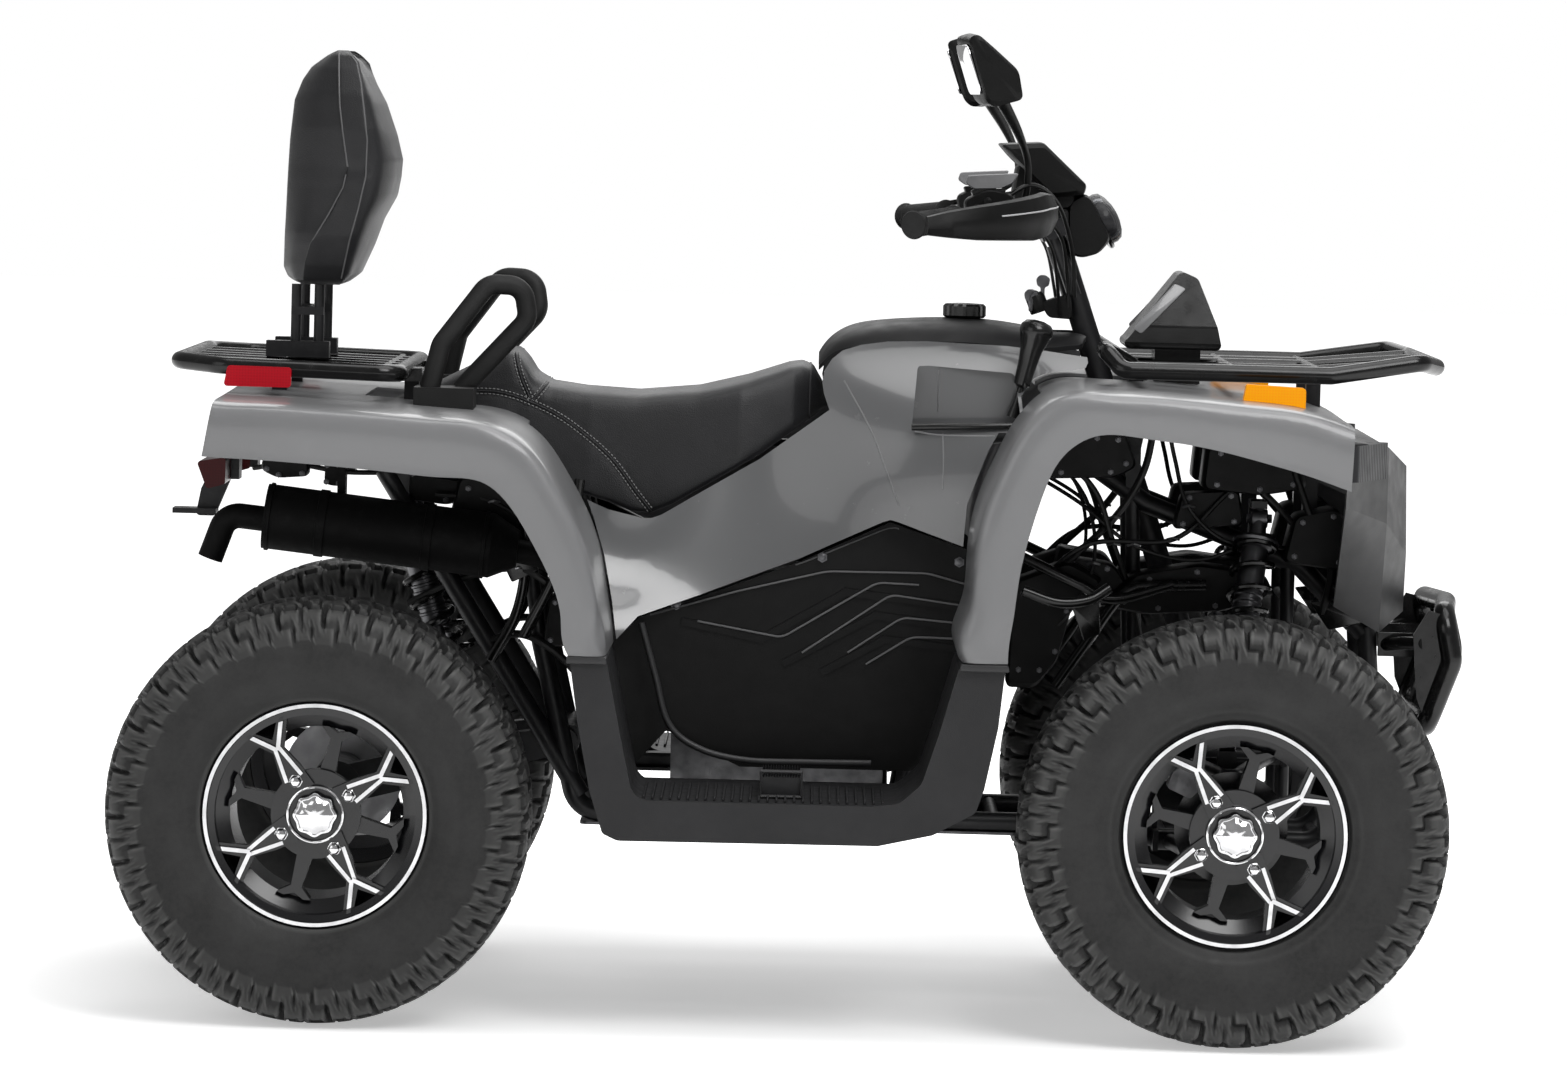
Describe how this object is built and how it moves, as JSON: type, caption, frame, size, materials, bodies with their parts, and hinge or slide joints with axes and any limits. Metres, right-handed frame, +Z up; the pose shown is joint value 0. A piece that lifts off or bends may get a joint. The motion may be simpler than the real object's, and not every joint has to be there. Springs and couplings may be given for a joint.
{
  "type": "quad bike",
  "caption": "Utility quad bike with low-pressure tyres, front and rear carriers, long seat, backrest, handlebar with hand guards, and steering that turns the front wheels.",
  "frame": {"origin": "on the ground, at the middle of the overall length and width", "axes": "+X forwards, +Y to the rider's left, +Z up"},
  "size_m": [2.0309, 1.145, 1.4742],
  "materials": {
    "frame_black": "satin",
    "body_grey": "gloss",
    "trim_black": "gloss",
    "moulded_black": "satin",
    "seat_vinyl": "satin",
    "rack_black": "gloss",
    "grip_rubber": "matte",
    "plate_steel": "satin",
    "lamp_clear": "gloss",
    "lamp_red": "gloss",
    "lamp_amber": "gloss",
    "engine_alloy": "matte",
    "exhaust_black": "matte",
    "damper_steel": "gloss",
    "tyre": "matte",
    "wheel_alloy": "gloss"
  },
  "bodies": {
    "chassis": {"backrest": "seat_vinyl", "backrest_frame": "frame_black", "bumper": "rack_black", "engine": "engine_alloy", "engine_cover_left": "trim_black", "engine_cover_right": "trim_black", "exhaust": "exhaust_black", "foot_rests": "frame_black", "footwell_left": "moulded_black", "footwell_right": "moulded_black", "frame": "frame_black", "front_arms": "frame_black", "front_cowl": "trim_black", "front_dampers": "damper_steel", "front_fender": "body_grey", "front_pod": "trim_black", "front_rack": "rack_black", "front_reflectors": "lamp_amber", "fuel_cap": "trim_black", "gear_lever": "trim_black", "grab_handles": "grip_rubber", "headlamps": "lamp_clear", "hitch": "frame_black", "rear_dampers": "damper_steel", "rear_fender": "body_grey", "rear_rack": "rack_black", "rear_reflectors": "lamp_red", "seat": "seat_vinyl", "side_cover_left": "body_grey", "side_cover_right": "body_grey", "skid_plate": "plate_steel", "swingarm": "frame_black", "tail_lamps": "lamp_red", "tank_cover": "trim_black"},
    "steering": {"bar_cowl": "trim_black", "bar_lamp": "lamp_clear", "hand_guards": "moulded_black", "handlebar": "rack_black", "mirrors": "trim_black", "steering_column": "frame_black"},
    "tie_rod_right": {"tie_rod_right": "plate_steel"},
    "tie_rod_left": {"tie_rod_left": "plate_steel"},
    "knuckle_right": {"knuckle_right": "engine_alloy"},
    "knuckle_left": {"knuckle_left": "engine_alloy"},
    "front_wheel_right": {"tyre_front_right": "tyre", "wheel_front_right": "wheel_alloy"},
    "front_wheel_left": {"tyre_front_left": "tyre", "wheel_front_left": "wheel_alloy"},
    "rear_wheels": {"rear_axle": "plate_steel", "tyres_rear": "tyre", "wheels_rear": "wheel_alloy"}
  },
  "joints": [
    {"name": "steering_turn", "type": "hinge", "parent": "chassis", "child": "steering", "pos_m": [0.372, 0, 1.19], "axis": [-0.3289, 0, 0.9444], "range_deg": [-32, 32]},
    {"name": "kingpin_right", "type": "hinge", "parent": "chassis", "child": "knuckle_right", "pos_m": [0.644, -0.39, 0.319], "axis": [0, 0, 1], "range_deg": [-32, 32]},
    {"name": "kingpin_left", "type": "hinge", "parent": "chassis", "child": "knuckle_left", "pos_m": [0.644, 0.39, 0.319], "axis": [0, 0, 1], "range_deg": [-32, 32]},
    {"name": "tie_rod_pivot_right", "type": "hinge", "parent": "steering", "child": "tie_rod_right", "pos_m": [0.60479, -0.02, 0.333], "axis": [-0.3289, 0, 0.9444], "range_deg": [-35, 35]},
    {"name": "tie_rod_pivot_left", "type": "hinge", "parent": "steering", "child": "tie_rod_left", "pos_m": [0.60479, 0.02, 0.333], "axis": [-0.3289, 0, 0.9444], "range_deg": [-35, 35]},
    {"name": "front_wheel_spin_right", "type": "hinge", "parent": "knuckle_right", "child": "front_wheel_right", "pos_m": [0.644, -0.465, 0.319], "axis": [0, 1, 0], "continuous": true},
    {"name": "front_wheel_spin_left", "type": "hinge", "parent": "knuckle_left", "child": "front_wheel_left", "pos_m": [0.644, 0.465, 0.319], "axis": [0, 1, 0], "continuous": true},
    {"name": "rear_axle_spin", "type": "hinge", "parent": "chassis", "child": "rear_wheels", "pos_m": [-0.706, 0, 0.315], "axis": [0, 1, 0], "continuous": true}
  ],
  "couplings": [
    {"joint": "kingpin_right", "follows": "steering_turn", "ratio": 1},
    {"joint": "kingpin_left", "follows": "steering_turn", "ratio": 1},
    {"joint": "tie_rod_pivot_right", "follows": "steering_turn", "ratio": -1.054},
    {"joint": "tie_rod_pivot_left", "follows": "steering_turn", "ratio": -1.054}
  ]
}
